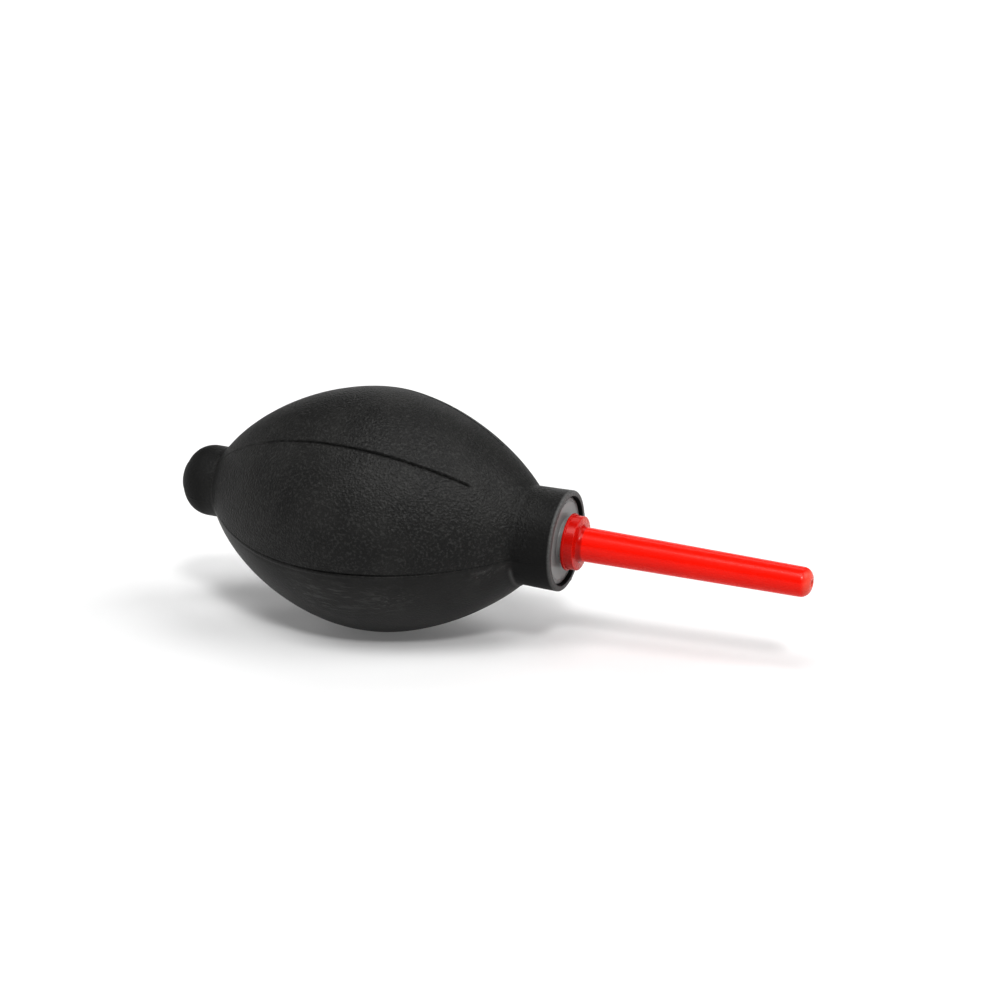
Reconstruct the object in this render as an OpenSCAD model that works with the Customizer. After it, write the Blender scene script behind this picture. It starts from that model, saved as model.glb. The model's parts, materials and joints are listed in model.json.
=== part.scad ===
// Hand dust blower: rubber bulb, push-in nozzle, outlet and inlet valves.
// The blower lies along X and blows towards +X. Z = 0 is the surface under the bulb,
// and X = 0 is half way along the whole blower.
// Stations called "at_" are distances along the axis from the plane of the front mouth.

/* [Bulb] */
// Widest diameter of the bulb
bulb_d = 55.6; // [46:0.2:67]
// Length of the bulb, from the front mouth to the rear face of its inlet valve
bulb_len = 93.6; // [78:0.2:113]
// Distance of the widest ring behind the mouth
belly_back = 45.4; // [38:0.2:55]
// Thickness of the rubber wall
wall = 2.6; // [2:0.1:3.2]
// Fullness of the front half beside its widest ring, as a share of that half
front_fullness = 0.357; // [0.3:0.005:0.4]
// Fullness of the rear half beside its widest ring, as a share of that half
rear_fullness = 0.376; // [0.3:0.005:0.42]
// Fullness of the front half beside its shoulder, as a share of that half
front_shoulder_fullness = 0.33; // [0.28:0.005:0.38]
// Fullness of the rear half beside its shoulder, as a share of that half
rear_shoulder_fullness = 0.355; // [0.28:0.005:0.4]

/* [Front neck] */
// Slope of the front shoulder where it meets its fillet, in degrees
front_slope = 46; // [38:1:50]
// Radius of the fillet between the front shoulder and the neck
front_fillet_r = 1.2; // [1:0.1:1.5]
// Length of the front neck, from the mouth to its fillet
front_neck_len = 8.7; // [7.2:0.1:10.5]
// Radius of the front neck at its waist
waist_r = 11.2; // [10.8:0.1:13]
// How far the rim of the mouth flares out past the waist
rim_flare = 0.2; // [0:0.1:0.6]
// Rounding of the rim's edge
rim_round = 0.4; // [0.2:0.1:0.5]

/* [Rear neck] */
// Slope of the rear shoulder where it meets its fillet, in degrees
rear_slope = 54; // [45:1:60]
// Radius of the fillet between the rear shoulder and the neck
rear_fillet_r = 1.2; // [1:0.1:1.5]
// Length of the rear neck, from its fillet to its end
rear_neck_len = 9.1; // [7.5:0.1:11]
// Radius of the rear neck
rear_neck_r = 8.2; // [7.2:0.1:9.9]
// Rounding of the rear neck's end
rear_end_round = 6.1; // [5.1:0.1:6.3]

/* [Outlet bush] */
// Radius of the disc that shows in the mouth
disc_r = 10; // [8.9:0.1:10]
// Thickness of the disc
disc_t = 2; // [1.6:0.1:2.4]
// How far the disc lies behind the mouth
disc_recess = 0.7; // [0.4:0.1:1]
// Radius of the barrel in the neck
barrel_r = 8.4; // [7:0.1:8.6]
// How much the rubber is stretched over the barrel, on the radius
neck_grip = 0.2; // [0:0.05:0.3]
// Radius of the raised seat under the nozzle's flange
boss_r = 5.2; // [4.4:0.1:6]
// Height of the raised seat over the disc
boss_h = 1.3; // [1:0.1:1.6]
// Height of the barb behind the rubber
barb_h = 0.8; // [0.6:0.1:1]
// Length of the barb's taper
barb_len = 2.4; // [2:0.1:3]
// Length of the barrel behind the barb
bush_tail = 0.4; // [0.3:0.1:0.8]
// Radius of the socket that takes the nozzle's spigot
socket_r = 3.2; // [2.9:0.05:3.9]
// Depth of the socket
socket_depth = 10.1; // [8.5:0.1:12.1]

/* [Nozzle] */
// How far the nozzle stands out of the mouth
nozzle_reach = 56.4; // [47:0.2:68]
// Radius of the thin lip at the back of the flange
lip_r = 6.4; // [5.8:0.1:7.4]
// Thickness of the lip
lip_t = 0.5; // [0.4:0.05:0.7]
// Radius of the flange in front of the lip
flange_r = 6.1; // [5:0.1:6.3]
// Thickness of the flange and its lip together
flange_t = 2.65; // [2.1:0.05:3.2]
// Radius of the tube at the flange
tube_root_r = 3.85; // [3.4:0.05:4.6]
// How much the tube widens where it meets the flange, on the radius
root_flare = 0.7; // [0.5:0.05:0.9]
// Length of that wider foot
root_flare_len = 1.3; // [1:0.1:1.6]
// Radius of the tube at the tip
tube_tip_r = 3.32; // [2.8:0.02:3.8]
// Rounding of the tip
tip_round = 2.3; // [1.8:0.1:2.4]
// Radius of the air hole in the tip
orifice_r = 0.75; // [0.5:0.05:0.9]
// Length of the air hole
orifice_len = 4; // [3:0.5:6]
// Radius of the air way through the tube
airway_r = 1.5; // [1.25:0.05:1.6]
// Gap between the spigot's end and the bottom of the socket
spigot_end_gap = 0.5; // [0.3:0.1:1]

/* [Nozzle seal] */
// Radius of the seal's round section
seal_section_r = 0.45; // [0.38:0.01:0.5]
// Distance of the seal behind the flange
seal_back = 5.1; // [4.3:0.1:6.1]

/* [Outlet valve] */
// Radius of the hole in the valve seat
outlet_hole_r = 2.2; // [1.8:0.1:2.6]
// How much larger the disc is than the nozzle's socket, on the radius
outlet_disc_rim = 0.8; // [0.7:0.05:1]
// Air gap around the disc
outlet_gap = 0.5; // [0.4:0.1:0.7]
// Thickness of the disc
outlet_disc_t = 1; // [0.8:0.1:1.2]
// Thickness of the seat
outlet_seat_t = 2; // [1.6:0.1:2.4]
// Length of the spring when the valve is shut
outlet_spring_len = 3; // [2.6:0.1:4]
// Radius of the valve springs' wire
wire_r = 0.15; // [0.12:0.01:0.18]
// How far the outlet spring's middle line lies outside the socket's edge
outlet_spring_out = 0.35; // [0.3:0.05:0.5]

/* [Inlet valve] */
// Radius of the inlet's air hole
inlet_hole_r = 1.2; // [1:0.05:1.45]
// How much larger the ball is than the air hole, on the radius
ball_lap = 0.7; // [0.65:0.05:0.9]
// Air gap around the ball
ball_gap = 0.7; // [0.6:0.05:0.8]
// Thickness of the valve body's wall
inlet_wall = 1.65; // [1.4:0.05:2]
// Length of the valve body
inlet_len = 12.8; // [11.9:0.1:15.4]
// Rounding of the valve body's rear edge
inlet_edge = 0.4; // [0.3:0.05:0.6]
// Thickness of the web that holds the air hole
inlet_web = 1; // [0.8:0.1:1.3]
// Thickness of the cage
cage_t = 1.6; // [1.3:0.1:2]
// Radius of the cage's air holes
cage_hole_r = 0.45; // [0.35:0.05:0.5]
// Width of the cage's rim outside its air holes
cage_rim = 0.3; // [0.2:0.05:0.4]
// Height of the barb behind the rubber
inlet_barb_h = 0.7; // [0.5:0.1:0.9]
// Length of the barb's taper
inlet_barb_len = 1.6; // [1.2:0.1:2]

/* [Dust screen] */
// Width of the valve body's rim around the screen
screen_rim = 1.25; // [1:0.05:1.4]
// Thickness of the screen
screen_t = 0.3; // [0.2:0.05:0.4]
// Thickness of the ring over the screen
ring_t = 0.9; // [0.7:0.1:1.1]
// Width of the ring over the screen
ring_w = 0.7; // [0.5:0.05:0.8]
// Radius of each hole in the screen
mesh_hole_r = 0.27; // [0.2:0.01:0.3]
// Distance between the holes of the screen
mesh_pitch = 0.8; // [0.7:0.02:1]

/* [Fits] */
// Radial clearance of the spigot in its socket
spigot_clear = 0.06; // [0.03:0.01:0.1]
// Clearance around the seal
seal_clear = 0.04; // [0.02:0.01:0.08]
// Gap between faces that meet when shut and part when open
face_gap = 0.03; // [0.02:0.01:0.05]
// Radial clearance of the inlet valve's body in the rear neck
inlet_clear = 0.03; // [0.02:0.01:0.05]

/* [Hidden] */
$fn = 96;
curve_steps = 14;
bend_steps = 6;
coil_steps = 16;
wire_sides = 8;
spring_turns = 4;
cage_holes = 6;
chamfer = 0.4;

axis_z = bulb_d/2;
mouth_x = (bulb_len - nozzle_reach)/2;

// outside of the rubber
front_shoulder_at = -front_neck_len - front_fillet_r*sin(front_slope);
front_shoulder_r = waist_r + front_fillet_r*(1 - cos(front_slope));
rear_neck_at = -bulb_len + rear_neck_len;
rear_shoulder_at = rear_neck_at + rear_fillet_r*sin(rear_slope);
rear_shoulder_r = rear_neck_r + rear_fillet_r*(1 - cos(rear_slope));
front_half = belly_back + front_shoulder_at;
rear_half = -rear_shoulder_at - belly_back;
rim_r = waist_r + rim_flare;

// outlet bush
disc_at = -disc_recess;
disc_back_at = disc_at - disc_t;
boss_at = disc_at + boss_h;
neck_bore_r = barrel_r - neck_grip;
front_cavity_at = front_shoulder_at - wall*sin(front_slope);
front_cavity_r = front_shoulder_r - wall*cos(front_slope);
neck_inner_at = front_cavity_at + (front_cavity_r - neck_bore_r)/tan(front_slope);
barb_at = neck_inner_at - (barb_h + 2*neck_grip)/tan(front_slope);
socket_at = boss_at - socket_depth;
outlet_disc_r = socket_r + outlet_disc_rim;
outlet_room_r = outlet_disc_r + outlet_gap;
outlet_stack = outlet_spring_len + outlet_disc_t + face_gap + outlet_seat_t;
bush_end_at = min(socket_at - outlet_stack, barb_at - barb_len - bush_tail);
outlet_seat_at = bush_end_at + outlet_seat_t;
outlet_disc_at = outlet_seat_at + face_gap;
outlet_spring_at = outlet_disc_at + outlet_disc_t;
outlet_spring_r = socket_r + outlet_spring_out;

// nozzle and its seal
flange_at = boss_at + face_gap;
tube_at = flange_at + flange_t;
orifice_at = nozzle_reach - orifice_len;
spigot_r = socket_r - spigot_clear;
spigot_end_at = socket_at + spigot_end_gap;
seal_at = flange_at - seal_back;
seal_mid_r = socket_r - seal_clear - seal_section_r;
groove_half = seal_section_r + seal_clear;
groove_r = seal_mid_r - groove_half;

// inlet valve
ball_r = inlet_hole_r + ball_lap;
ball_room_r = ball_r + ball_gap;
inlet_r = ball_room_r + inlet_wall;
rear_bore_r = inlet_r + inlet_clear;
screen_r = inlet_r - screen_rim;
screen_at = -bulb_len + ring_t;
pocket_at = screen_at + screen_t;
seat_at = pocket_at + inlet_web;
ball_at = seat_at - inlet_hole_r + (ball_r + face_gap)*sqrt(2);
rear_cavity_at = rear_shoulder_at + wall*sin(rear_slope);
rear_cavity_r = rear_shoulder_r - wall*cos(rear_slope);
rear_inner_at = rear_cavity_at - (rear_cavity_r - rear_bore_r)/tan(rear_slope);
inlet_barb_at = rear_inner_at + inlet_barb_h/tan(rear_slope) + face_gap;
inlet_end_at = max(-bulb_len + inlet_len, inlet_barb_at + inlet_barb_len + chamfer);
cage_at = inlet_end_at - cage_t;
cage_ring_r = ball_room_r - cage_rim - cage_hole_r;
inlet_spring_r = inlet_hole_r;
inlet_spring_at = ball_at + sqrt(pow(ball_r + wire_r + face_gap, 2) - pow(inlet_spring_r, 2));
end_mid_r = rear_neck_r - rear_end_round;
end_turn = 180 - asin(max(0, rear_bore_r - end_mid_r)/rear_end_round);

// outlines are points of [distance from the axis, station along it]
function arc(r, at, size, from, to) =
    [for (i = [0:bend_steps]) let (a = from + (to - from)*i/bend_steps) [r + size*sin(a), at + size*cos(a)]];
function bezier(p, t) =
    pow(1 - t, 3)*p[0] + 3*pow(1 - t, 2)*t*p[1] + 3*(1 - t)*t*t*p[2] + pow(t, 3)*p[3];
function heading(p, t) =
    pow(1 - t, 2)*(p[1] - p[0]) + 2*(1 - t)*t*(p[2] - p[1]) + t*t*(p[3] - p[2]);
function inset_curve(p, inset) =
    [for (i = [0:curve_steps]) let (t = i/curve_steps, h = heading(p, t))
        bezier(p, t) + inset*[h[1], -h[0]]/norm(h)];
function without_first(points) = [for (i = [1:len(points) - 1]) points[i]];
function backwards(points) = [for (i = [len(points) - 1:-1:0]) points[i]];

// both halves of the bulb, from the front shoulder back to the rear one
front_curve = [
    [front_shoulder_r, front_shoulder_at],
    [front_shoulder_r, front_shoulder_at]
        + front_shoulder_fullness*front_half*[sin(front_slope), -cos(front_slope)],
    [bulb_d/2, -belly_back + front_fullness*front_half],
    [bulb_d/2, -belly_back]];
rear_curve = [
    [bulb_d/2, -belly_back],
    [bulb_d/2, -belly_back - rear_fullness*rear_half],
    [rear_shoulder_r, rear_shoulder_at]
        + rear_shoulder_fullness*rear_half*[sin(rear_slope), cos(rear_slope)],
    [rear_shoulder_r, rear_shoulder_at]];

module on_axis(at) {
    translate([mouth_x + at, 0, axis_z]) rotate([0, 90, 0]) children();
}

module turned(points) {
    on_axis(0) rotate_extrude() polygon(points);
}

module coil(r, from, to) {
    steps = spring_turns*coil_steps;
    start = from + wire_r;
    rise = to - from - 2*wire_r;
    points = [for (i = [0:steps]) for (k = [0:wire_sides - 1])
        let (a = 360*i/coil_steps, b = 360*k/wire_sides, d = r + wire_r*cos(b))
        [d*cos(a), d*sin(a), start + rise*i/steps + wire_r*sin(b)]];
    sides = [for (i = [0:steps - 1]) for (k = [0:wire_sides - 1])
        let (n = (k + 1)%wire_sides, a = i*wire_sides)
        [a + k, a + wire_sides + k, a + wire_sides + n, a + n]];
    first = [for (k = [0:wire_sides - 1]) k];
    last = [for (k = [wire_sides - 1:-1:0]) steps*wire_sides + k];
    on_axis(0) polyhedron(points, concat(sides, [first, last]));
}

module bulb_shell() {
    outside = concat(
        [[disc_r, 0], [rim_r - rim_round, 0], [rim_r, -rim_round]],
        arc(waist_r + front_fillet_r, -front_neck_len, front_fillet_r, -90, -90 - front_slope),
        without_first(inset_curve(front_curve, 0)),
        without_first(inset_curve(rear_curve, 0)),
        without_first(arc(rear_neck_r + rear_fillet_r, rear_neck_at, rear_fillet_r, rear_slope - 90, -90)),
        arc(end_mid_r, -bulb_len + rear_end_round, rear_end_round, 90, end_turn));
    cavity = concat(inset_curve(front_curve, wall), without_first(inset_curve(rear_curve, wall)));
    inside = concat(
        [[rear_bore_r, rear_inner_at]],
        backwards(cavity),
        [[neck_bore_r, neck_inner_at], [neck_bore_r, disc_back_at], [disc_r, disc_back_at]]);
    color("#2c2a27") turned(concat(outside, inside));
}

module outlet_bush() {
    color("#34322f") turned([
        [socket_r, boss_at], [boss_r, boss_at], [boss_r, disc_at],
        [disc_r, disc_at], [disc_r, disc_back_at], [barrel_r, disc_back_at],
        [barrel_r, barb_at], [barrel_r + barb_h, barb_at], [barrel_r, barb_at - barb_len],
        [barrel_r, bush_end_at], [outlet_room_r, bush_end_at],
        [outlet_room_r, socket_at], [socket_r, socket_at]]);
}

module outlet_valve_seat() {
    color("#6a6760") turned([
        [outlet_hole_r, outlet_seat_at], [outlet_room_r, outlet_seat_at],
        [outlet_room_r, bush_end_at], [outlet_hole_r + chamfer, bush_end_at],
        [outlet_hole_r, bush_end_at + chamfer]]);
}

module outlet_valve_disc() {
    color("#b8b2a2") on_axis(outlet_disc_at) cylinder(r = outlet_disc_r, h = outlet_disc_t);
}

module outlet_valve_spring() {
    color("silver") coil(outlet_spring_r, outlet_spring_at, socket_at);
}

module nozzle() {
    color("#d81408") turned(concat(
        [[airway_r, spigot_end_at], [spigot_r - chamfer, spigot_end_at], [spigot_r, spigot_end_at + chamfer],
            [spigot_r, seal_at - groove_half], [groove_r, seal_at - groove_half],
            [groove_r, seal_at + groove_half], [spigot_r, seal_at + groove_half],
            [spigot_r, flange_at], [lip_r, flange_at], [lip_r, flange_at + lip_t],
            [flange_r, flange_at + lip_t], [flange_r, tube_at],
            [tube_root_r + root_flare, tube_at], [tube_root_r, tube_at + root_flare_len]],
        arc(tube_tip_r - tip_round, nozzle_reach - tip_round, tip_round, 90, 0),
        [[orifice_r, nozzle_reach], [orifice_r, orifice_at],
            [airway_r, orifice_at - 2*(airway_r - orifice_r)]]));
}

module nozzle_seal() {
    color("#141414") on_axis(seal_at) rotate_extrude() translate([seal_mid_r, 0]) circle(seal_section_r);
}

module inlet_valve_body() {
    color("#201f1e") turned([
        [screen_r, -bulb_len], [inlet_r - inlet_edge, -bulb_len], [inlet_r, -bulb_len + inlet_edge],
        [inlet_r, inlet_barb_at], [inlet_r + inlet_barb_h, inlet_barb_at],
        [inlet_r, inlet_barb_at + inlet_barb_len], [inlet_r, inlet_end_at],
        [ball_room_r, inlet_end_at], [ball_room_r, seat_at + ball_room_r - inlet_hole_r],
        [inlet_hole_r, seat_at], [inlet_hole_r, pocket_at], [screen_r, pocket_at]]);
}

module inlet_ball() {
    color("#c9c9c4") on_axis(ball_at) sphere(r = ball_r);
}

module inlet_spring() {
    color("silver") coil(inlet_spring_r, inlet_spring_at - wire_r, cage_at);
}

module inlet_cage() {
    color("#6a6760") difference() {
        on_axis(cage_at) cylinder(r = ball_room_r, h = cage_t);
        on_axis(cage_at - 1) cylinder(r = inlet_spring_r - 2*wire_r - face_gap, h = cage_t + 2);
        for (i = [0:cage_holes - 1])
            on_axis(cage_at - 1) rotate([0, 0, 360*i/cage_holes]) translate([cage_ring_r, 0, 0])
                cylinder(r = cage_hole_r, h = cage_t + 2);
    }
}

module dust_screen() {
    reach = screen_r - ring_w - mesh_hole_r;
    rows = floor(reach/(mesh_pitch*sin(60)));
    color("#9a9a96") difference() {
        on_axis(screen_at) cylinder(r = screen_r, h = screen_t);
        for (row = [-rows:rows]) for (i = [-2*rows:2*rows])
            let (x = mesh_pitch*(i + row/2), y = mesh_pitch*sin(60)*row)
            if (norm([x, y]) < reach)
                on_axis(screen_at - 1) translate([x, y, 0]) cylinder(r = mesh_hole_r, h = screen_t + 2, $fn = 24);
    }
}

module screen_ring() {
    color("#8d8c88") turned([
        [screen_r - ring_w, -bulb_len + chamfer], [screen_r - ring_w + chamfer/2, -bulb_len],
        [screen_r, -bulb_len], [screen_r, screen_at], [screen_r - ring_w, screen_at]]);
}

bulb_shell();
outlet_bush();
outlet_valve_seat();
outlet_valve_disc();
outlet_valve_spring();
nozzle();
nozzle_seal();
inlet_valve_body();
inlet_ball();
inlet_spring();
inlet_cage();
dust_screen();
screen_ring();
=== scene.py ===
import json
import math

import bpy
import numpy as np
from mathutils import Matrix, Vector


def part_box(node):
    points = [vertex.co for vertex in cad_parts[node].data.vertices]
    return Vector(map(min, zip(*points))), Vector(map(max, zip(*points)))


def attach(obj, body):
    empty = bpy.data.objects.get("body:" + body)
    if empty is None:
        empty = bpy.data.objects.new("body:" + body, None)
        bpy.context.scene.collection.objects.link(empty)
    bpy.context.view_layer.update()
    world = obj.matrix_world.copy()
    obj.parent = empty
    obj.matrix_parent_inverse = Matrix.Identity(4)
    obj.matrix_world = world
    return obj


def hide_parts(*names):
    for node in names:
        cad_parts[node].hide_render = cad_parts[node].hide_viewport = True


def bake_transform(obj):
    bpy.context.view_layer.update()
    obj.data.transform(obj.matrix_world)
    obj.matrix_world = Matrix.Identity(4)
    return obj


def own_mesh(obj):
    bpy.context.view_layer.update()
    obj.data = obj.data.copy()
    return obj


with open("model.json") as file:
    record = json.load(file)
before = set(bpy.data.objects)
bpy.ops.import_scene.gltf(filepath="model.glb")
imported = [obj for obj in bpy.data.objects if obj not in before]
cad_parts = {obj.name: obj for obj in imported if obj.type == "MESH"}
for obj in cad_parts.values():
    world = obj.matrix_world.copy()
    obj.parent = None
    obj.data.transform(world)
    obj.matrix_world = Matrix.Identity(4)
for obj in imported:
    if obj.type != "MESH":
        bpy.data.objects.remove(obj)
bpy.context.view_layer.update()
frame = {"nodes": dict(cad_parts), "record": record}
mm = 0.001

# the lowest and highest corners of the pieces that the rest is measured from
shellLow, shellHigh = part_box("bulb_shell")
nozzleLow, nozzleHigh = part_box("nozzle")
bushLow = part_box("outlet_bush")[0]
bodyLow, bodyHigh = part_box("inlet_valve_body")
axisZ = (shellLow.z + shellHigh.z) / 2
mouthX = shellHigh.x


def fromMouth(x):
    return (x - mouthX) / mm


print("frame read: mouth at", round(mouthX, 4), "axis at", round(axisZ, 4))


class Wire:
    # a node's output, which plain arithmetic turns into further nodes
    def __init__(self, graph, socket):
        self.graph = graph
        self.socket = socket

    def maths(self, operation, *terms):
        return self.graph.node("ShaderNodeMath", {"operation": operation}, dict(enumerate(terms)))

    def __add__(self, other):
        return self.maths("ADD", self, other)

    def __radd__(self, other):
        return self.maths("ADD", other, self)

    def __sub__(self, other):
        return self.maths("SUBTRACT", self, other)

    def __rsub__(self, other):
        return self.maths("SUBTRACT", other, self)

    def __mul__(self, other):
        return self.maths("MULTIPLY", self, other)

    def __rmul__(self, other):
        return self.maths("MULTIPLY", other, self)

    def __truediv__(self, other):
        return self.maths("DIVIDE", self, other)

    def __rtruediv__(self, other):
        return self.maths("DIVIDE", other, self)

    def between(self, low, high):
        # 0 below low, 1 above high, smooth in between
        return self.graph.node(
            "ShaderNodeMapRange",
            {"interpolation_type": "SMOOTHSTEP"},
            {"Value": self, "From Min": low, "From Max": high},
        )


class Graph:
    def __init__(self, tree):
        self.tree = tree
        self.tree.nodes.clear()

    def node(self, kind, settings=None, sockets=None, out=0):
        made = self.tree.nodes.new(kind)
        for key, value in (settings or {}).items():
            setattr(made, key, value)
        for key, value in (sockets or {}).items():
            target = made.inputs[key]
            if isinstance(value, Wire):
                self.tree.links.new(value.socket, target)
            else:
                target.default_value = value
        return Wire(self, made.outputs[out]) if made.outputs else None  # an output node has no wire

    def mix(self, factor, low, high):
        # colours are three numbers or a wire
        low = low if isinstance(low, Wire) else (*low, 1)
        high = high if isinstance(high, Wire) else (*high, 1)
        settings = {"data_type": "RGBA"}
        return self.node("ShaderNodeMix", settings, {0: factor, 6: low, 7: high}, out=2)

    def noise(self, place, scale, detail=2, roughness=0.5):
        sockets = {"Vector": place, "Scale": scale, "Detail": detail, "Roughness": roughness}
        return self.node("ShaderNodeTexNoise", {}, sockets)

    def attribute(self, name, out="Fac"):
        return self.node("ShaderNodeAttribute", {"attribute_name": name}, {}, out)

    def stretched(self, place, stretch):
        return self.node("ShaderNodeVectorMath", {"operation": "MULTIPLY"}, {0: place, 1: stretch})

    def bump(self, height, distance, strength=1.0):
        sockets = {"Height": height, "Distance": distance, "Strength": strength}
        return self.node("ShaderNodeBump", {}, sockets)


def makeMaterial(name, paint):
    made = bpy.data.materials.new(name)
    made.use_nodes = True
    graph = Graph(made.node_tree)
    sockets = paint(graph)
    shader = graph.node("ShaderNodeBsdfPrincipled", {}, sockets)
    graph.node("ShaderNodeOutputMaterial", {}, {"Surface": shader})
    return made


def objectPlace(graph):
    return graph.node("ShaderNodeTexCoord", {}, {}, out="Object")


def along(place, axis):
    # one part of a place, X, Y or Z
    return place.graph.node("ShaderNodeSeparateXYZ", {}, {0: place}, out=axis)


# scales are features in a metre, and stretches below 1 draw a pattern out along the blower
rubberLook = {
    "dark": (0.0075, 0.0074, 0.007),
    "dusty": (0.018, 0.0176, 0.0166),
    "glint": (0.056, 0.056, 0.054),
    "shade": (0.0015, 0.0015, 0.0015),
    "edge": (0.15, 0.15, 0.148),
    "scuff": (0.075, 0.075, 0.073),
    "cloudScale": 90,
    "warpScale": 260,
    "cellScale": 2100,
    "pebbleScale": 1650,
    "fineScale": 3600,
    "streakScale": 900,
    "streakStretch": (0.16, 1.0, 1.0),
    "scratchScale": 2100,
    "scratchStretch": (0.09, 1.0, 1.0),
    "pebbleHeight": 0.75,  # shares of grainHeight
    "cellDepth": 0.5,
    "fineHeight": 0.12,
    "smoothHeight": 0.06,
    "grainHeight": 0.0003,
    "roughness": 0.5,
    "smoothRoughness": 0.4,
    "roughnessSpread": 0.14,
    "specular": 0.32,
}


def paintRubber(graph):
    # the bulb's mesh carries its own places and zones: grain, scuff, shade (painted shade) and edge
    # (painted highlight) run from 0 to 1
    look = rubberLook
    place = graph.attribute("restPlace", "Vector")
    grain = graph.attribute("grain")
    scuffZone = graph.attribute("scuff")
    shade = graph.attribute("shade")
    edge = graph.attribute("edge")
    warped = graph.noise(place, look["warpScale"], 2)
    cells = graph.node(
        "ShaderNodeTexVoronoi",
        {"feature": "SMOOTH_F1"},
        {"Vector": place, "Scale": look["cellScale"], "Smoothness": 0.6, "Randomness": 1.0},
    )
    pebbles = graph.noise(place, look["pebbleScale"], 3, 0.6)
    fine = graph.noise(place, look["fineScale"], 2, 0.6)
    cloud = graph.noise(place, look["cloudScale"], 3, 0.55)
    streak = graph.noise(graph.stretched(place, look["streakStretch"]), look["streakScale"], 3, 0.65)
    scratches = graph.noise(graph.stretched(place, look["scratchStretch"]), look["scratchScale"], 2, 0.5)
    scuffs = scuffZone * (streak.between(0.5, 0.64) * 0.6 + scratches.between(0.6, 0.7))
    pebbled = pebbles * look["pebbleHeight"] - cells * look["cellDepth"] + fine * look["fineHeight"]
    height = grain * pebbled + (1 - grain) * fine * look["smoothHeight"]
    # painted glints: lighter specks on the pebbles of the grain
    paintedGlints = grain * pebbles.between(0.48, 0.66) * 0.45
    colour = graph.mix(cloud.between(0.35, 0.7) * 0.8, look["dark"], look["dusty"])
    colour = graph.mix(paintedGlints + warped * 0.05, colour, look["glint"])
    colour = graph.mix(shade, colour, look["shade"])
    # painted highlight on the rim face and the neck's ledge
    colour = graph.mix(edge * (0.55 + pebbles * 0.9), colour, look["edge"])
    colour = graph.mix(scuffs, colour, look["scuff"])
    rough = look["smoothRoughness"] + grain * (look["roughness"] - look["smoothRoughness"])
    rough = rough + (pebbles - 0.5) * look["roughnessSpread"] + scuffs * 0.1 + shade * 0.35
    return {
        "Base Color": colour,
        "Roughness": rough,
        "Specular IOR Level": look["specular"],
        "Normal": graph.bump(height, look["grainHeight"]),
    }


mouthLook = {
    "dark": (0.2, 0.202, 0.2),
    "pale": (0.27, 0.272, 0.27),
    "cloudScale": 320,
    "fineScale": 2600,
    "turnedScale": 700,
    "turnedStretch": (6.0, 1.0, 1.0),
    "roughness": 0.3,
    "roughnessSpread": 0.14,
    "grainHeight": 0.00004,
}


def paintMouthPlastic(graph):
    look = mouthLook
    place = objectPlace(graph)
    cloud = graph.noise(place, look["cloudScale"], 3, 0.6)
    fine = graph.noise(place, look["fineScale"], 2, 0.6)
    turned = graph.noise(graph.stretched(place, look["turnedStretch"]), look["turnedScale"], 2, 0.5)
    return {
        "Base Color": graph.mix(cloud, look["dark"], look["pale"]),
        "Roughness": look["roughness"] + cloud * look["roughnessSpread"],
        "Normal": graph.bump(fine + turned * 0.5, look["grainHeight"], 0.5),
    }


# millimetres, with places measured in front of the mouth
nozzle = {
    "lip": (6.4, 0.5),  # radius and thickness
    "flange": (6.1, 2.65),
    "flangeAt": 0.63,
    "rootFlare": (0.7, 1.3),
    "root": 3.85,
    "tip": 3.32,
    "tipRound": 2.3,
    "orifice": 0.75,
    "orificeLength": 4,
    "airway": 1.5,
    "spigot": 3.14,
    "groove": (2.22, -4.96, -3.98),  # radius, back and front
}
nozzleLook = {
    "red": (0.68, 0.0085, 0.001),
    "brightRed": (0.78, 0.014, 0.002),
    "shadedRed": (0.34, 0.004, 0.002),
    "reflectedPink": (0.6, 0.13, 0.09),
    "cloudScale": 60,
    "fineScale": 1500,
    "fineStretch": (0.25, 1.0, 1.0),
    "markScale": 3200,
    "markStretch": (0.12, 1.0, 1.0),
    "roughness": 0.22,
    "specular": 0.24,
    "coat": 0.04,
    "coatRoughness": 0.12,
    "grainHeight": 0.00003,
}


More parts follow.
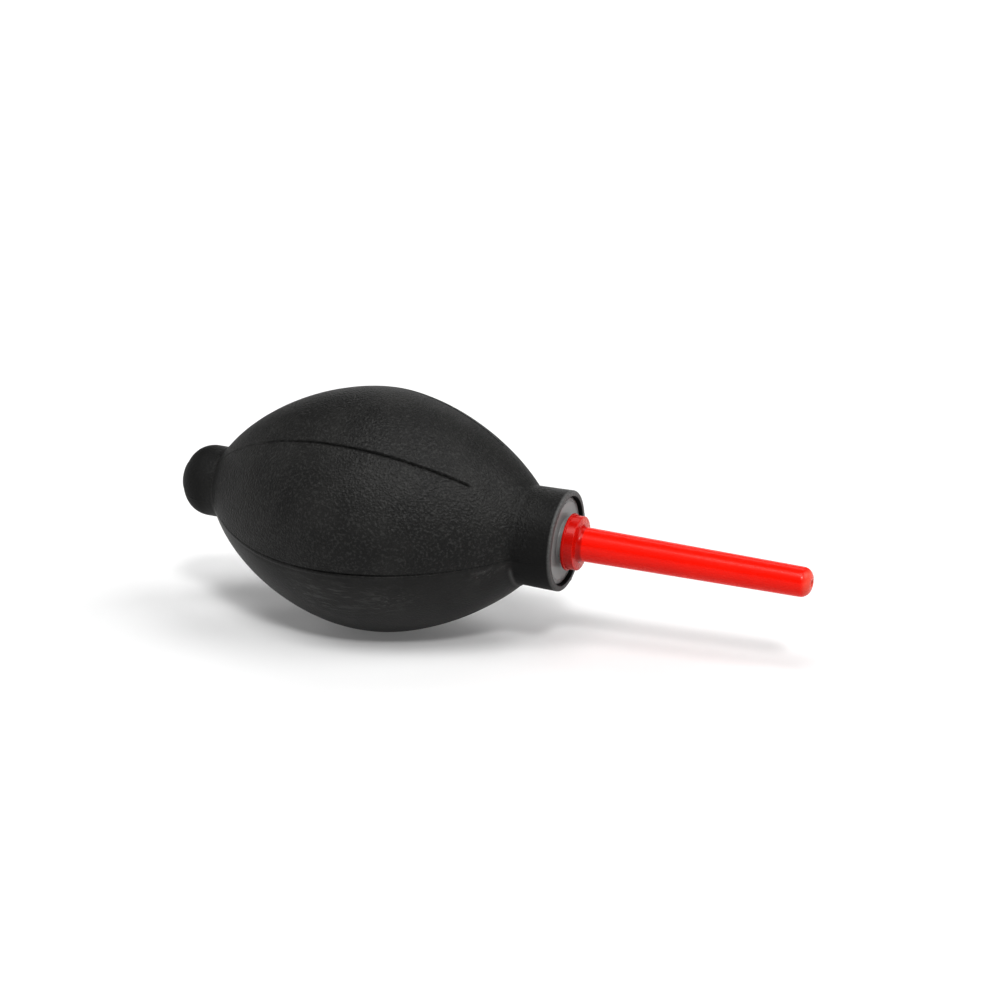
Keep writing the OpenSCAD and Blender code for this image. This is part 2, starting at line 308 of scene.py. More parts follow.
def paintRed(graph):
    look = nozzleLook
    place = objectPlace(graph)
    cloud = graph.noise(place, look["cloudScale"], 2, 0.5)
    fine = graph.noise(graph.stretched(place, look["fineStretch"]), look["fineScale"], 3, 0.6)
    marks = graph.noise(graph.stretched(place, look["markStretch"]), look["markScale"], 2, 0.5)
    marks = marks.between(0.68, 0.78)
    # painted shade makes the flange's side, its front face and the foot of the tube a deeper red, and a
    # painted reflection and highlight make the face's far side and the tip paler
    at = (along(place, "X") - mouthX) / mm
    faceAt = nozzle["flangeAt"] + nozzle["flange"][1]
    tipAt = fromMouth(nozzleHigh.x)
    side = 1 - at.between(faceAt - 0.12, faceAt - 0.06)
    foot = at.between(faceAt + 0.03, faceAt + 0.12) * (1 - at.between(faceAt + 0.9, faceAt + 1.5))
    face = at.between(faceAt - 0.12, faceAt - 0.06) * (1 - at.between(faceAt + 0.03, faceAt + 0.1))
    farSide = along(place, "Y").between(-1.5 * mm, 1.5 * mm)
    end = at.between(tipAt - 1.9, tipAt - 0.4)
    colour = graph.mix(cloud, look["red"], look["brightRed"])
    colour = graph.mix(side * 0.75 + foot * 0.85 + face * 0.6, colour, look["shadedRed"])
    return {
        # painted reflection on the flange face's far side, and painted highlight on the tip
        "Base Color": graph.mix(end * 0.6 + face * farSide * 0.6, colour, look["reflectedPink"]),
        "Roughness": look["roughness"] + fine * 0.1 + marks * 0.12,
        "Specular IOR Level": look["specular"],
        "Coat Weight": look["coat"] + fine * 0.06,
        "Coat Roughness": look["coatRoughness"],
        "Normal": graph.bump(fine + marks * 0.4, look["grainHeight"], 0.6),
    }


metalLook = {
    "lineScale": 900,
    "lineStretch": (9.0, 1.0, 1.0),
    "cloudScale": 400,
    "roughnessSpread": 0.14,
    "lineHeight": 0.00002,
}


def metalPaint(low, high, roughness):
    look = metalLook

    def paint(graph):
        place = objectPlace(graph)
        lines = graph.noise(graph.stretched(place, look["lineStretch"]), look["lineScale"], 3, 0.6)
        cloud = graph.noise(place, look["cloudScale"], 2, 0.5)
        return {
            "Base Color": graph.mix(cloud, low, high),
            "Metallic": 0.92 + cloud * 0.08,
            "Roughness": roughness + lines * look["roughnessSpread"],
            "Normal": graph.bump(lines, look["lineHeight"], 0.4),
        }

    return paint


softLook = {"cloudScale": 500, "fineScale": 3000, "roughnessSpread": 0.12, "grainHeight": 0.00003}


def softPaint(low, high, roughness):
    look = softLook

    def paint(graph):
        place = objectPlace(graph)
        cloud = graph.noise(place, look["cloudScale"], 3, 0.6)
        fine = graph.noise(place, look["fineScale"], 2, 0.6)
        return {
            "Base Color": graph.mix(cloud, low, high),
            "Roughness": roughness + cloud * look["roughnessSpread"],
            "Normal": graph.bump(fine, look["grainHeight"], 0.5),
        }

    return paint


# material slot: name, and what paints it
finishes = {
    "bulb_rubber": ("bulbRubber", paintRubber),
    "bush_plastic": ("mouthPlastic", paintMouthPlastic),
    "nozzle_red": ("nozzleRed", paintRed),
    "inlet_plastic": ("inletPlastic", softPaint((0.012, 0.012, 0.012), (0.024, 0.023, 0.022), 0.36)),
    "seal_rubber": ("sealRubber", softPaint((0.008, 0.008, 0.008), (0.016, 0.016, 0.016), 0.4)),
    "valve_disc": ("valveSilicone", softPaint((0.5, 0.46, 0.37), (0.58, 0.55, 0.47), 0.4)),
    "valve_seat": ("seatBrass", metalPaint((0.55, 0.4, 0.17), (0.68, 0.52, 0.26), 0.24)),
    "cage_brass": ("cageBrass", metalPaint((0.5, 0.37, 0.16), (0.64, 0.48, 0.24), 0.28)),
    "spring_steel": ("springSteel", metalPaint((0.45, 0.45, 0.46), (0.6, 0.6, 0.61), 0.22)),
    "ball_steel": ("ballSteel", metalPaint((0.6, 0.6, 0.62), (0.72, 0.72, 0.73), 0.08)),
    "screen_steel": ("screenSteel", metalPaint((0.36, 0.36, 0.37), (0.5, 0.5, 0.5), 0.3)),
    "ring_nickel": ("ringNickel", metalPaint((0.42, 0.41, 0.39), (0.55, 0.54, 0.52), 0.25)),
}
materials = {slotName: makeMaterial(*finish) for slotName, finish in finishes.items()}
print("materials made:", len(materials))


# outlines are points of (radius, distance in front of the mouth), in millimetres
def arc(radius, at, size, start, end, steps):
    angles = np.radians(np.linspace(start, end, steps + 1))
    return [(radius + size * math.sin(a), at + size * math.cos(a)) for a in angles]


def bezier(points, steps):
    t = np.linspace(0, 1, steps + 1)[:, None]
    p = np.array(points, float)
    curve = (1 - t) ** 3 * p[0] + 3 * (1 - t) ** 2 * t * p[1] + 3 * (1 - t) * t**2 * p[2] + t**3 * p[3]
    return [tuple(v) for v in curve]


def straight(start, end, steps):
    return [tuple(v) for v in np.linspace(start, end, steps + 1)]


def rounded(points, size, steps=3):
    # a closed outline whose corners are cut by a small curve
    done = []
    count = len(points)
    for i, corner in enumerate(points):
        here = np.array(corner[:2], float)
        before = np.array(points[i - 1][:2], float) - here
        after = np.array(points[(i + 1) % count][:2], float) - here
        cut = corner[2] if len(corner) > 2 else size
        reach = min(cut, 0.45 * np.linalg.norm(before), 0.45 * np.linalg.norm(after))
        first = here + before / np.linalg.norm(before) * reach
        last = here + after / np.linalg.norm(after) * reach
        for t in np.linspace(0, 1, steps + 1):
            done.append(tuple((1 - t) ** 2 * first + 2 * t * (1 - t) * here + t**2 * last))
    return done


def finishPiece(name, vertices, faces, slotName):
    mesh = bpy.data.meshes.new(name)
    mesh.from_pydata([tuple(v) for v in vertices], [], faces)
    mesh.validate()
    mesh.polygons.foreach_set("use_smooth", [True] * len(mesh.polygons))
    mesh.materials.append(materials[slotName])
    piece = bpy.data.objects.new(name, mesh)
    bpy.context.scene.collection.objects.link(piece)
    return piece


def turnFaces(rings, columns):
    # a closed outline turned a full turn has every ring joined to the next, and the last to the first
    faces = []
    for i in range(rings):
        n = (i + 1) % rings
        for k in range(columns):
            m = (k + 1) % columns
            faces.append((i * columns + k, n * columns + k, n * columns + m, i * columns + m))
    return faces


def frontFirst(outline):
    # the outline runs from the mouth back along the outside, so that the faces look outwards
    p = np.array([point[:2] for point in outline])
    q = np.roll(p, -1, axis=0)
    area = float((p[:, 0] * q[:, 1] - q[:, 0] * p[:, 1]).sum())
    return outline if area < 0 else outline[::-1]


def aroundAxis(radius, at, angle):
    return (mouthX + at * mm, -radius * mm * math.sin(angle), axisZ + radius * mm * math.cos(angle))


def turnPiece(name, outline, slotName, columns=96, shape=None):
    # an outline that touches the axis at both ends makes a solid piece, and any other makes a ring
    angles = np.linspace(0, 2 * math.pi, columns, endpoint=False)
    outline = frontFirst(outline)
    solid = outline[0][0] == 0
    rings = outline[1:-1] if solid else outline
    vertices = []
    for radius, at in rings:
        for angle in angles:
            r = radius + (shape(radius, at, angle) if shape else 0)
            vertices.append(aroundAxis(r, at, angle))
    faces = turnFaces(len(rings), columns)
    if solid:
        faces = faces[: (len(rings) - 1) * columns]
        front = len(vertices)
        last = (len(rings) - 1) * columns
        vertices += [aroundAxis(0, outline[0][1], 0), aroundAxis(0, outline[-1][1], 0)]
        for k in range(columns):
            n = (k + 1) % columns
            faces += [(front, k, n), (front + 1, last + n, last + k)]
    return finishPiece(name, vertices, faces, slotName)


# millimetres and degrees
bulb = {
    "bellyBack": 45.4,  # how far behind the mouth the bulb is widest
    "wall": 2.6,
    "frontSlope": 46,
    "frontFillet": 1.2,
    "frontNeck": 8.7,  # how far behind the mouth the front neck ends
    "waist": 11.2,
    "rimRadius": 11.4,
    "rimRound": 0.45,
    "mouthRadius": 10,
    "mouthDepth": 2.7,
    "neckBore": 8.45,
    "rearSlope": 54,
    "rearFillet": 1.2,
    "rearNeckLength": 9.1,
    "rearNeck": 8.2,
    "rearRound": 6.1,
    "frontFullness": (0.357, 0.33),
    "rearFullness": (0.376, 0.355),
    "plugBarb": 0.7,  # how far the rear plug's barb stands out
    "boreGap": 0.03,
    "rearLip": 0.35,
}
# places are measured in front of the mouth, so these are negative
seams = {
    "count": 6,
    "roll": -14.5,
    "longOnes": (2, 5),
    "depth": 0.62,
    "width": 0.45,
    "lip": 0.1,
    "lipWidth": 0.3,
    "shortFront": -18.2,
    "rearEnd": -86,
    "lean": {1: (0, -3), 2: (-0.2, 5.5)},  # degrees at the front and at the rear
    "leanReach": 20,
    "leanBetween": (38, 80),
    "secondLine": {"depth": 0.13, "away": 1.15, "width": 0.22},
    "neckLine": {"front": 0.07, "rear": 0.06, "width": 0.16},
}


def bulbOutline():
    b = bulb
    bellyRadius = (shellHigh.z - shellLow.z) / 2 / mm
    rearEnd = fromMouth(bodyLow.x)
    bore = (bodyHigh.z - bodyLow.z) / 2 / mm - b["plugBarb"] + b["boreGap"]
    front = math.radians(b["frontSlope"])
    rear = math.radians(b["rearSlope"])
    frontAt = -b["frontNeck"] - b["frontFillet"] * math.sin(front)
    frontR = b["waist"] + b["frontFillet"] * (1 - math.cos(front))
    rearNeckAt = rearEnd + b["rearNeckLength"]
    rearAt = rearNeckAt + b["rearFillet"] * math.sin(rear)
    rearR = b["rearNeck"] + b["rearFillet"] * (1 - math.cos(rear))
    frontHalf = b["bellyBack"] + frontAt
    rearHalf = -rearAt - b["bellyBack"]

    def halves(inset):
        big = bellyRadius - inset
        fr = frontR - inset * math.cos(front)
        fa = frontAt - inset * math.sin(front)
        rr = rearR - inset * math.cos(rear)
        ra = rearAt + inset * math.sin(rear)
        reach = b["frontFullness"][1] * frontHalf
        frontCurve = [
            (fr, fa),
            (fr + reach * math.sin(front), fa - reach * math.cos(front)),
            (big, -b["bellyBack"] + b["frontFullness"][0] * frontHalf),
            (big, -b["bellyBack"]),
        ]
        reach = b["rearFullness"][1] * rearHalf
        rearCurve = [
            (big, -b["bellyBack"]),
            (big, -b["bellyBack"] - b["rearFullness"][0] * rearHalf),
            (rr + reach * math.sin(rear), ra + reach * math.cos(rear)),
            (rr, ra),
        ]
        return frontCurve, rearCurve

    frontCurve, rearCurve = halves(0)
    endMid = b["rearNeck"] - b["rearRound"]
    endTurn = 180 - math.degrees(math.asin((bore + b["rearLip"] - endMid) / b["rearRound"]))
    rim = b["rimRadius"] - b["rimRound"]
    frontTurn = -90 - b["frontSlope"]
    rearTurn = b["rearSlope"] - 90
    outside = (
        arc(b["mouthRadius"] + 0.25, -0.25, 0.25, -90, 0, 3)
        + arc(rim, -b["rimRound"], b["rimRound"], 0, 90, 4)
        + straight((b["rimRadius"] - 0.01, -0.8), (b["waist"] + 0.01, -b["frontNeck"] + 0.2), 8)
        + arc(b["waist"] + b["frontFillet"], -b["frontNeck"], b["frontFillet"], -90, frontTurn, 14)
        + bezier(frontCurve, 52)[1:]
        + bezier(rearCurve, 52)[1:]
        + arc(b["rearNeck"] + b["rearFillet"], rearNeckAt, b["rearFillet"], rearTurn, -90, 10)[1:]
        + arc(endMid, rearEnd + b["rearRound"], b["rearRound"], 90, endTurn, 16)
    )
    lipAt = outside[-1][1]
    frontIn, rearIn = halves(b["wall"])
    rearInner = rearIn[3][1] - (rearIn[3][0] - bore) / math.tan(rear)
    frontInner = frontIn[0][1] + (frontIn[0][0] - b["neckBore"]) / math.tan(front)
    inside = (
        [(bore + 0.1, lipAt + 0.05), (bore, lipAt + b["rearLip"]), (bore, lipAt + 2), (bore, rearInner)]
        + bezier(rearIn, 12)[::-1]
        + bezier(frontIn, 12)[::-1][1:]
        + [(b["neckBore"], frontInner), (b["neckBore"], -b["mouthDepth"] - 1)]
        + [(b["neckBore"], -b["mouthDepth"]), (b["mouthRadius"], -b["mouthDepth"])]
        + [(b["mouthRadius"], -1.6), (b["mouthRadius"], -0.6)]
    )
    return outside, inside


def ramp(value, low, high):
    t = min(1.0, max(0.0, (value - low) / (high - low)))
    return t * t * (3 - 2 * t)


def hill(value, middle, width):
    return math.exp(-(((value - middle) / width) ** 2))


def seamLean(degrees, at):
    # the mould's edges wander a little, so the columns of the mesh wander with them
    share = ramp(-at, *seams["leanBetween"])
    total = 0
    for index, (front, rear) in seams["lean"].items():
        middle = seams["roll"] + 360 / seams["count"] * index
        away = (degrees - middle + 180) % 360 - 180
        total += hill(away, 0, seams["leanReach"]) * (front + (rear - front) * share)
    return total


def seamShape(radius, at, angle):
    # how far the skin stands out from the plain turned shape, in millimetres
    s = seams
    total = 0.0
    for index in range(s["count"]):
        seamAngle = math.radians(s["roll"] + 360 / s["count"] * index)
        turn = (angle - seamAngle + math.pi) % (2 * math.pi) - math.pi
        across = turn * radius
        if abs(across) > 3:
            continue
        long = index in s["longOnes"]
        frontFade = 1 - ramp(at, -9, -1) if long else 1 - ramp(at, s["shortFront"] - 1, s["shortFront"])
        rearFade = ramp(at, s["rearEnd"], s["rearEnd"] + 8)
        swell = 0.42 + 0.58 * (hill(at, -42, 16) if long else ramp(at, -74, -52))
        strength = frontFade * rearFade * swell
        groove = max(0.0, 1 - abs(across) / s["width"]) ** 1.3
        lipAway = s["width"] * 1.35
        lip = hill(across, -lipAway, s["lipWidth"]) + 0.6 * hill(across, lipAway, s["lipWidth"])
        total += strength * (s["lip"] * lip - s["depth"] * groove)
        if index == s["longOnes"][0]:
            # a faint second line just below, where the mould was touched up
            second = s["secondLine"]
            stretch = ramp(-at, 38, 46) * (1 - ramp(-at, 68, 76))
            total -= second["depth"] * hill(across, second["away"], second["width"]) * stretch
        if long:
            # the mould's parting line runs on over both necks
            line = s["neckLine"]
            frontPart = line["front"] * ramp(at, -14, -9) * (1 - ramp(at, -1.2, -0.4))
            rearPart = line["rear"] * (1 - ramp(at, -86, -83)) * ramp(at, -92, -90)
            total += hill(across, 0, line["width"]) * (frontPart + rearPart)
    return total


marks = {
    "flashAngles": (287, 203),
    "flashHeight": 0.3,
    "ledgeAt": -9.4,
    "ledgeHeight": 0.22,
    "ledgeFrom": (105.5, 108),
    "ledgeTo": (283, 285.5),
    "uneven": (0.05, 0.03),
}


def bulbMarks(at, angle):
    # small faults of the moulding: flash on the rim and a ledge where the lower mould half met the neck
    m = marks
    degrees = math.degrees(angle) % 360
    flash = sum(hill(degrees, place, 2) for place in m["flashAngles"])
    flash *= m["flashHeight"] * hill(at, -0.35, 0.5)
    lower = ramp(degrees, *m["ledgeFrom"]) * (1 - ramp(degrees, *m["ledgeTo"]))
    ledge = lower * m["ledgeHeight"] * hill(at, m["ledgeAt"], 0.45)
    uneven = m["uneven"][0] * math.sin(3 * angle + 1.1) + m["uneven"][1] * math.sin(5 * angle)
    return flash + ledge + uneven * ramp(-at, 0.5, 3) * ramp(-at, 0, 2)


def seamColumns():
    # columns of points lie close at each seam and far apart between seams
    half = [0.25, 0.5, 0.75, 1.0, 1.3, 1.7, 2.2, 2.9, 4, 5.5, 7.5, 10.5, 14, 18, 22, 26]
    step = 360 / seams["count"]
    angles = []
    for index in range(seams["count"]):
        middle = seams["roll"] + step * index
        angles += [middle] + [middle + d for d in half] + [middle - d for d in half]
        angles.append(middle + step / 2)
    return np.radians(sorted(a % 360 for a in angles))


# the smooth panel under the lower long seam: its edges in radians, and its scuffs as
# place, length, turn below the seam, width and strength
panel = {
    "start": math.radians(seams["roll"] + 120),
    "end": (4.95, 5.02),
    "scuffs": ((-50, 9, 0.35, 0.28, 1), (-34, 6, 0.3, 0.14, 0.8), (-13.5, 3, 0.12, 0.1, 0.9)),
}


# painted shade: the front neck is darker on its lower near side, and the rear neck is darker all round
def neckPaintedShade(at, angle):
    lowerSide = hill((math.degrees(angle) - 118 + 180) % 360 - 180, 0, 62)
    return max(ramp(at, -11, -8.6) * lowerSide * 0.75, (1 - ramp(at, -86, -84)) * 0.55)


def skinZones(radius, at, angle):
    # how grainy and scuffed the rubber is at a place, and how much painted shade and painted highlight it
    # gets, each from 0 to 1
    degrees = math.degrees(angle)
    panelStart = panel["start"]
    under = ramp(angle, panelStart - 0.01, panelStart + 0.03) * (1 - ramp(angle, *panel["end"]))
    neck = max(ramp(at, -8, -3), 1 - ramp(at, -86, -82))
    grain = 1.0 - 0.8 * max(under, neck * 0.7)
    scuff = 0
    for place, length, turn, width, strength in panel["scuffs"]:
        scuff += strength * hill(at, place, length) * hill(angle, panelStart + turn, width)
    # inside the mouth the rubber gets full painted shade
    inMouth = at > -3 and radius < bulb["mouthRadius"] + 0.2
    rimInside = bulb["mouthRadius"] + 0.1
    rim = ramp(at, -0.75, -0.3) * ramp(radius, rimInside, rimInside + 0.2)
    lowSide = ramp(degrees, 112, 122) * (1 - ramp(degrees, 215, 240))
    # painted highlight: the rim's front face and the ledge on the lower neck are made paler
    pale = rim * 0.6 + lowSide * 0.4 * hill(at, marks["ledgeAt"], 0.3)
    return grain, min(1.0, scuff) * under, 1.0 if inMouth else neckPaintedShade(at, angle), min(1.0, pale)


def insideZones(at, angle):
    # the same for the rubber's inner wall, which only shows in the mouth, where it gets full painted shade
    return 0.2, 0.0, 1.0 if at > -3 else neckPaintedShade(at, angle), 0.0


def makeBulb():
    outside, inside = bulbOutline()
    angles = seamColumns()
    vertices = []
    zones = []
    for radius, at in outside:
        for angle in angles:
            shift = seamShape(radius, at, angle) + bulbMarks(at, angle)
            lean = math.radians(seamLean(math.degrees(angle), at))
            vertices.append(aroundAxis(radius + shift, at, angle + lean))
            zones.append(skinZones(radius, at, angle))
    for radius, at in inside:
        for angle in angles:
            vertices.append(aroundAxis(radius, at, angle))
            zones.append(insideZones(at, angle))
    faces = turnFaces(len(outside) + len(inside), len(angles))
    piece = finishPiece("rubber_bulb", vertices, faces, "bulb_rubber")
    mesh = piece.data
    for name, values in zip(("grain", "scuff", "shade", "edge"), zip(*zones)):
        attribute = mesh.attributes.new(name, "FLOAT", "POINT")
        attribute.data.foreach_set("value", np.array(values, np.float32))
    attribute = mesh.attributes.new("restPlace", "FLOAT_VECTOR", "POINT")
    attribute.data.foreach_set("vector", np.array(vertices, np.float32).ravel())
    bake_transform(piece)
    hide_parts("bulb_shell")
    return piece


rubberBulb = makeBulb()
print("bulb made:", len(rubberBulb.data.vertices), "points")

bush = {
    "discRadius": 9.93,
    "discAt": -0.7,
    "discBack": -2.7,
    "bossRadius": 5.2,
    "bossAt": 0.6,
    "socket": 3.2,
    "socketEnd": -9.5,
    "valveRoom": 4.5,
    "barrel": 8.4,
    "barb": (0.8, -11.4, -13.9),  # height, front and back
}


def makeBush():
    b = bush
    back = fromMouth(bushLow.x)
    barb, barbFront, barbBack = b["barb"]
    outline = rounded(
        [
            (b["socket"], b["bossAt"]),
            (b["bossRadius"], b["bossAt"], 0.3),
            (b["bossRadius"], b["discAt"], 0.25),
            (b["discRadius"] - 1.15, b["discAt"], 0.2),
            (b["discRadius"] - 1.0, b["discAt"] - 0.12, 0.2),
            (b["discRadius"], b["discAt"] - 0.16, 0.3),
            (b["discRadius"], b["discBack"]),
            (b["barrel"], b["discBack"]),
            (b["barrel"], barbFront),
            (b["barrel"] + barb, barbFront - 0.1, 0.3),
            (b["barrel"], barbBack),
            (b["barrel"], back, 0.5),
            (b["valveRoom"], back),
            (b["valveRoom"], b["socketEnd"]),
            (b["socket"], b["socketEnd"]),
        ],
        0.12,
    )
    piece = turnPiece("mouth_bush", outline, "bush_plastic")
    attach(piece, "bulb")
    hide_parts("outlet_bush")


makeBush()

tubeLines = {"height": 0.025, "width": 0.12, "roll": 20, "start": 3.4, "innermost": 3.2}


def mouldLine(radius, at, angle):
    # the two faint lines that the mould's halves leave along the tube
    t = tubeLines
    if radius < t["innermost"] or at < t["start"]:
        return 0
    away = abs(math.sin(angle - math.radians(t["roll"]))) * radius
    return t["height"] * hill(away, 0, t["width"]) * ramp(at, t["start"], 5.5) * (1 - ramp(at, 52, 54))


def makeNozzle():
    n = nozzle
    reach = fromMouth(nozzleHigh.x)
    back = fromMouth(nozzleLow.x)
    at = n["flangeAt"]
    flangeFront = at + n["flange"][1]
    flare, flareLength = n["rootFlare"]
    grooveRadius, grooveBack, grooveFront = n["groove"]
    before = [
        (n["airway"], back),
        (n["spigot"] - 0.4, back),
        (n["spigot"], back + 0.4),
        (n["spigot"], grooveBack),
        (grooveRadius, grooveBack),
        (grooveRadius, grooveFront),
        (n["spigot"], grooveFront),
        (n["spigot"], at),
        (n["lip"][0], at),
        (n["lip"][0], at + n["lip"][1], 0.12),
        (n["flange"][0], at + n["lip"][1] + 0.02, 0.1),
        (n["flange"][0], flangeFront, 0.22),
        (n["root"] + flare, flangeFront, 0.05),
    ]
    foot = bezier(
        [
            (n["root"] + flare, flangeFront + 0.02),
            (n["root"] + 0.35 * flare, flangeFront + 0.1),
            (n["root"], flangeFront + 0.35 * flareLength),
            (n["root"], flangeFront + flareLength),
        ],
        8,
    )
    tubeStart = flangeFront + flareLength
    tubeEnd = reach - n["tipRound"]
    outline = rounded(before, 0.08)[4:-4] + foot
    outline += straight((n["root"] - 0.004, tubeStart + 0.2), (n["tip"] + 0.01, tubeEnd - 0.4), 24)
    outline += arc(n["tip"] - n["tipRound"], tubeEnd, n["tipRound"], 90, 4, 12)
    outline += arc(n["orifice"] + 0.12, reach - 0.12, 0.12, 0, -90, 2)
    orificeBack = reach - n["orificeLength"]
    outline += [(n["orifice"], orificeBack), (n["airway"], orificeBack - 1.5), (n["airway"], back + 0.1)]
    piece = turnPiece("red_nozzle", outline, "nozzle_red", 120, mouldLine)
    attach(piece, "nozzle_body")
    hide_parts("nozzle")


makeNozzle()


def coilPiece(name, radius, wire, start, end, turns, sides=12, stepsPerTurn=26):
    steps = stepsPerTurn * turns
    vertices = []
    for i in range(steps + 1):
        share = i / steps
        angle = 2 * math.pi * turns * share
        at = start + wire + (end - start - 2 * wire) * share
        for k in range(sides):
            turn = 2 * math.pi * k / sides
            vertices.append(aroundAxis(radius + wire * math.cos(turn), at + wire * math.sin(turn), angle))
    faces = []
    for i in range(steps):
        for k in range(sides):
            n = (k + 1) % sides
            faces.append((i * sides + k, (i + 1) * sides + k, (i + 1) * sides + n, i * sides + n))
    faces.append(tuple(range(sides)))
    faces.append(tuple(steps * sides + k for k in range(sides))[::-1])
    return finishPiece(name, vertices, faces, "spring_steel")


def span(node):
    # back and front of a piece, and its outer radius, in millimetres
    low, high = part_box(node)
    return fromMouth(low.x), fromMouth(high.x), (high.z - low.z) / 2 / mm


def ridesInstead(piece, node, body):
    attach(piece, body)
    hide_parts(node)


# lift is how far the valve opens, by which the real coil shortens
springs = {"wire": 0.15, "turns": 4, "lift": 1.2}


def makeSprings():
    wire = springs["wire"]
    for name, node, body, joint in (
        ("outlet_coil", "outlet_valve_spring", "bulb", "outlet_valve"),
        ("inlet_coil", "inlet_spring", "rear_end", "inlet_valve"),
    ):
        start, end, outer = span(node)
        piece = coilPiece(name, outer - wire, wire, start, end, springs["turns"])
        ridesInstead(piece, node, body)
        anchor = aroundAxis(0, end, 0)
        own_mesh(piece)


makeSprings()

inletBody = {
    "barbLength": 1.6,
    "tipEdge": 0.4,
    "room": 2.6,
    "hole": 1.2,
    "pocket": 1.2,
    "web": 1,
    "edge": 0.45,
}


def makeInletBody():
    b = inletBody
    back, front, widest = span("inlet_valve_body")
    pocketRadius = span("screen_ring")[2]
    outer = widest - bulb["plugBarb"]
    barbFront = front - b["tipEdge"]
    barbBack = barbFront - b["barbLength"]
    seat = back + b["pocket"] + b["web"]
    outline = rounded(
        [
            (pocketRadius, back, 0.12),
            (outer, back, b["edge"]),
            (outer, barbBack),
            (widest, barbBack),
            (outer, barbFront),
            (outer - b["tipEdge"], front),
            (b["room"], front),
            (b["room"], seat + b["room"] - b["hole"]),
            (b["hole"], seat),
            (b["hole"], back + b["pocket"]),
            (pocketRadius, back + b["pocket"]),
        ],
        0.06,
    )
    ridesInstead(turnPiece("inlet_plug", outline, "inlet_plastic", 96), "inlet_valve_body", "rear_end")


makeInletBody()

screen = {"wire": 0.07, "pitch": 0.38, "sides": 6, "margin": 0.05}


def makeScreen():
    # wires woven over and under each other, cut to the round of the pocket
    back, front, radius = span("dust_screen")
    middle = (back + front) / 2
    wire, pitch, sides = screen["wire"], screen["pitch"], screen["sides"]
    reach = radius - screen["margin"]
    vertices = []
    faces = []
    count = int(reach / pitch)
    for across in (False, True):
        way = -1 if across else 1
        for line in range(-count, count + 1):
            offset = line * pitch
            half = math.sqrt(reach**2 - offset**2) - wire
            steps = max(4, int(2 * half / pitch * 5))
            first = len(vertices)
            for i in range(steps + 1):
                onWire = -half + 2 * half * i / steps
                sway = wire * math.cos(math.pi * (onWire / pitch + line)) * way
                for k in range(sides):
                    turn = 2 * math.pi * k / sides * way
                    side = offset + wire * math.cos(turn)
                    y, z = (side, onWire) if across else (onWire, side)
                    x = mouthX + (middle + sway + wire * math.sin(turn)) * mm
                    vertices.append((x, y * mm, axisZ + z * mm))
            for i in range(steps):
                for k in range(sides):
                    a = first + i * sides + k
                    b = first + i * sides + (k + 1) % sides
                    faces.append((a, b, b + sides, a + sides))
            faces.append(tuple(range(first, first + sides))[::-1])
            faces.append(tuple(range(first + steps * sides, first + (steps + 1) * sides)))
    ridesInstead(finishPiece("woven_screen", vertices, faces, "screen_steel"), "dust_screen", "rear_end")


makeScreen()

endRing = {"band": 0.7, "outerEdge": 0.15, "holeEdge": 0.3, "softEdge": 0.08}


def makeEndRing():
    e = endRing
    back, front, outer = span("screen_ring")
    hole = outer - e["band"]
    corners = [(hole, front), (outer, front), (outer, back, e["outerEdge"]), (hole, back, e["holeEdge"])]
    piece = turnPiece("end_ring", rounded(corners, e["softEdge"], 4), "ring_nickel", 96)
    ridesInstead(piece, "screen_ring", "rear_end")


makeEndRing()


def makeBall():
    back, front, outer = span("inlet_ball")
    outline = [(0, front)] + arc(0, (back + front) / 2, outer, 5, 175, 34) + [(0, back)]
    ridesInstead(turnPiece("steel_ball", outline, "ball_steel", 64), "inlet_ball", "ball")


makeBall()

flap = {"edge": 0.2, "rings": (0.4, 0.8)}  # the rings are shares of its radius


def makeFlap():
    back, front, outer = span("outlet_valve_disc")
    rings = [outer * share for share in flap["rings"]]
    corners = [(0, front), (outer, front), (outer, back), (0, back)]
    outline = [(0, front)] + [(radius, front) for radius in rings]
    outline += rounded(corners, flap["edge"], 4)[5:-5]
    outline += [(radius, back) for radius in reversed(rings)] + [(0, back)]
    ridesInstead(turnPiece("valve_flap", outline, "valve_disc", 64), "outlet_valve_disc", "outlet_valve")


makeFlap()

valveRing = {"hole": 2.2, "edge": 0.15}


def makeValveRing():
    back, front, outer = span("outlet_valve_seat")
    hole = valveRing["hole"]
    outline = rounded([(hole, front), (outer, front), (outer, back), (hole, back)], valveRing["edge"])
    ridesInstead(turnPiece("valve_ring", outline, "valve_seat", 64), "outlet_valve_seat", "bulb")


makeValveRing()


def makeSeal():
    back, front, outer = span("nozzle_seal")
    section = (front - back) / 2
    outline = arc(outer - section, (back + front) / 2, section, 0, 345, 23)
    ridesInstead(turnPiece("round_seal", outline, "seal_rubber", 64), "nozzle_seal", "seal_ring")


makeSeal()


def dressCadNodes():
    # only the drilled cage stays as the CAD made it
    slots = {row["node"]: row["material_slot"] for row in frame["record"]["subparts"]}
    for name, node in frame["nodes"].items():
        node.data.materials.clear()
        node.data.materials.append(materials[slots[name]])


dressCadNodes()
print("valves and springs made")

studio = {
    "tilt": 3.38,  # degrees that the nozzle points down towards the floor
    "floorAlbedo": (0.6, 0.6, 0.6),
    "floorGlow": 0.17,
    "floorRoughness": 0.6,
    "floorShine": 0.2,
    "flat": 6,  # metres, like the brim
    "brim": 14,
    "brimHeight": 1.4,
    "yaw": 21.5,
    "elevation": 16,
    "lens": 108,
    "aim": (1.16, 2.44, 33.85),  # millimetres
    "distance": 672.9,
    "ambient": 0.06,
    "gamma": 0.77,
}
tilt = math.radians(studio["tilt"])
upward = Vector((-math.sin(tilt), 0, math.cos(tilt)))


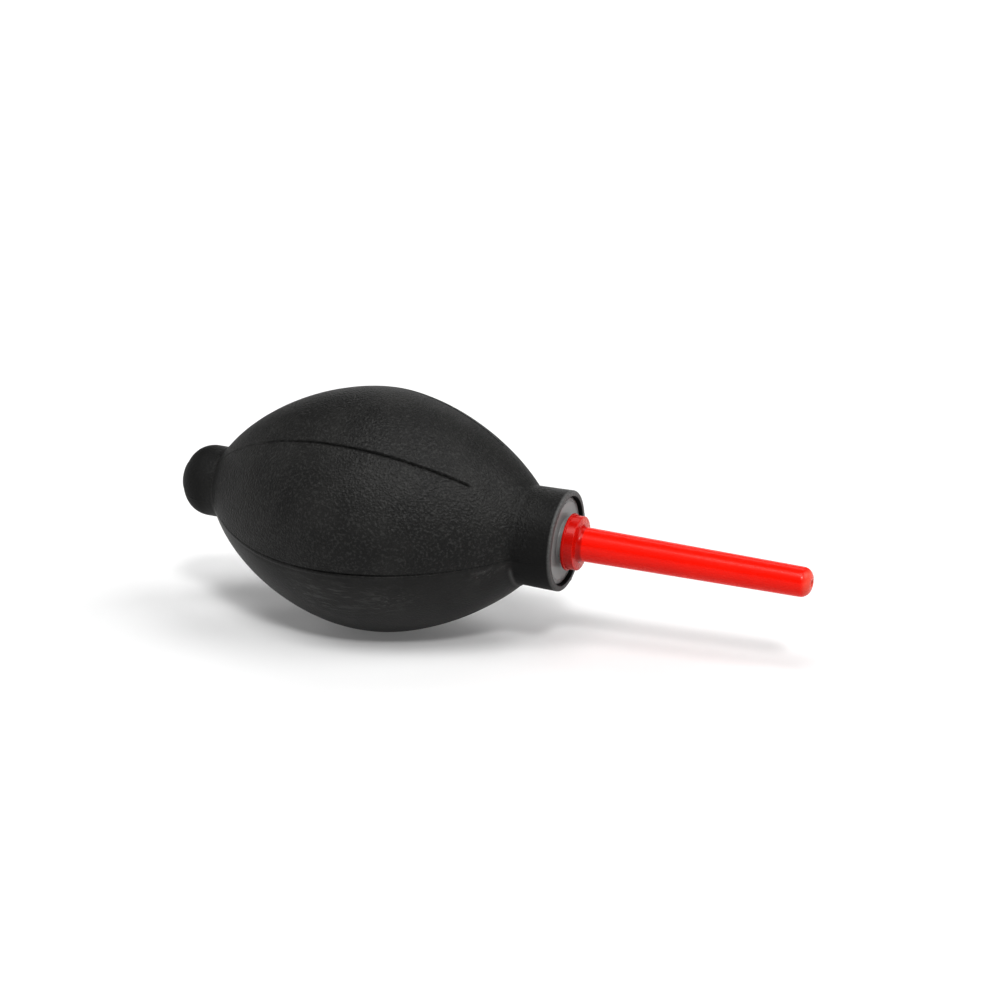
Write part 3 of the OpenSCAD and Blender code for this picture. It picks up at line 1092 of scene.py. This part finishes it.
def makeFloor():
    points = np.array([v.co for v in rubberBulb.data.vertices])
    lowest = float((points @ np.array(upward)).min())
    mesh = bpy.data.meshes.new("floor")
    # flat round the object, and rising far away, so that it fills a low view too
    corners = []
    for reach, height in ((studio["flat"], 0), (studio["brim"], studio["brimHeight"])):
        corners += [(x * reach, y * reach, height) for x, y in ((-1, -1), (1, -1), (1, 1), (-1, 1))]
    brim = [(k, k + 4, (k + 1) % 4 + 4, (k + 1) % 4) for k in range(4)]
    mesh.from_pydata(corners, [], [(0, 1, 2, 3)] + brim)
    floor = bpy.data.objects.new("floor", mesh)
    bpy.context.scene.collection.objects.link(floor)
    floor.rotation_mode = "QUATERNION"
    floor.rotation_quaternion = upward.to_track_quat("Z", "Y")
    floor.location = upward * lowest

    def paint(graph):
        return {
            "Base Color": (*studio["floorAlbedo"], 1),
            "Roughness": studio["floorRoughness"],
            "Specular IOR Level": studio["floorShine"],
            "Emission Color": (1, 1, 1, 1),
            "Emission Strength": studio["floorGlow"],
        }

    mesh.materials.append(makeMaterial("paleFloor", paint))


makeFloor()


def studioAxes():
    # across and away from the camera, both level with the floor
    yaw = math.radians(studio["yaw"])
    level = Vector((math.cos(tilt), 0, math.sin(tilt)))
    away = level * -math.sin(yaw) + upward.cross(level) * math.cos(yaw)
    return away.cross(upward), away


# soft lamps round the table: degrees turned to the right from behind the camera, degrees up,
# degrees of spread, strength
lamps = {
    "front": (10, 45, 10, 1.6),
    "frontLeft": (-70, 40, 60, 0.4),
    "overhead": (-15, 66, 30, 1.5),
    "right": (74, 48, 44, 1.75),
    "rightLow": (110, 15, 30, 0.3),
    "leftLow": (-120, 15, 50, 0.45),
    "back": (180, 12, 30, 0.3),
    "backHigh": (165, 55, 30, 0.45),
}


def addLamps():
    across, away = studioAxes()
    for name, (turn, height, spread, strength) in lamps.items():
        turn, height = math.radians(turn), math.radians(height)
        level = across * math.sin(turn) - away * math.cos(turn)
        source = level * math.cos(height) + upward * math.sin(height)
        data = bpy.data.lights.new(name, "SUN")
        data.energy = strength
        data.angle = math.radians(spread)
        lamp = bpy.data.objects.new(name, data)
        bpy.context.scene.collection.objects.link(lamp)
        lamp.rotation_mode = "QUATERNION"
        lamp.rotation_quaternion = (-source).to_track_quat("-Z", "Y")


def makeWorld():
    world = bpy.data.worlds.new("studio")
    bpy.context.scene.world = world
    world.use_nodes = True
    graph = Graph(world.node_tree)
    shade = graph.node("ShaderNodeBackground", {}, {"Color": (1, 1, 1, 1), "Strength": studio["ambient"]})
    graph.node("ShaderNodeOutputWorld", {}, {"Surface": shade})
    bpy.context.scene.view_settings.view_transform = "Standard"
    bpy.context.scene.view_settings.gamma = studio["gamma"]


addLamps()
makeWorld()
print("lights made")


def makeCamera():
    across, away = studioAxes()
    rise = math.radians(studio["elevation"])
    forward = away * math.cos(rise) - upward * math.sin(rise)
    up = across.cross(forward)
    data = bpy.data.cameras.new("camera")
    data.lens = studio["lens"]
    data.sensor_width = 36
    camera = bpy.data.objects.new("camera", data)
    bpy.context.scene.collection.objects.link(camera)
    turn = Matrix((across, up, -forward)).transposed().to_4x4()
    place = Vector(studio["aim"]) * mm - forward * studio["distance"] * mm
    camera.matrix_world = Matrix.Translation(place) @ turn
    data.clip_start = 0.01
    data.clip_end = 60
    bpy.context.scene.camera = camera


makeCamera()
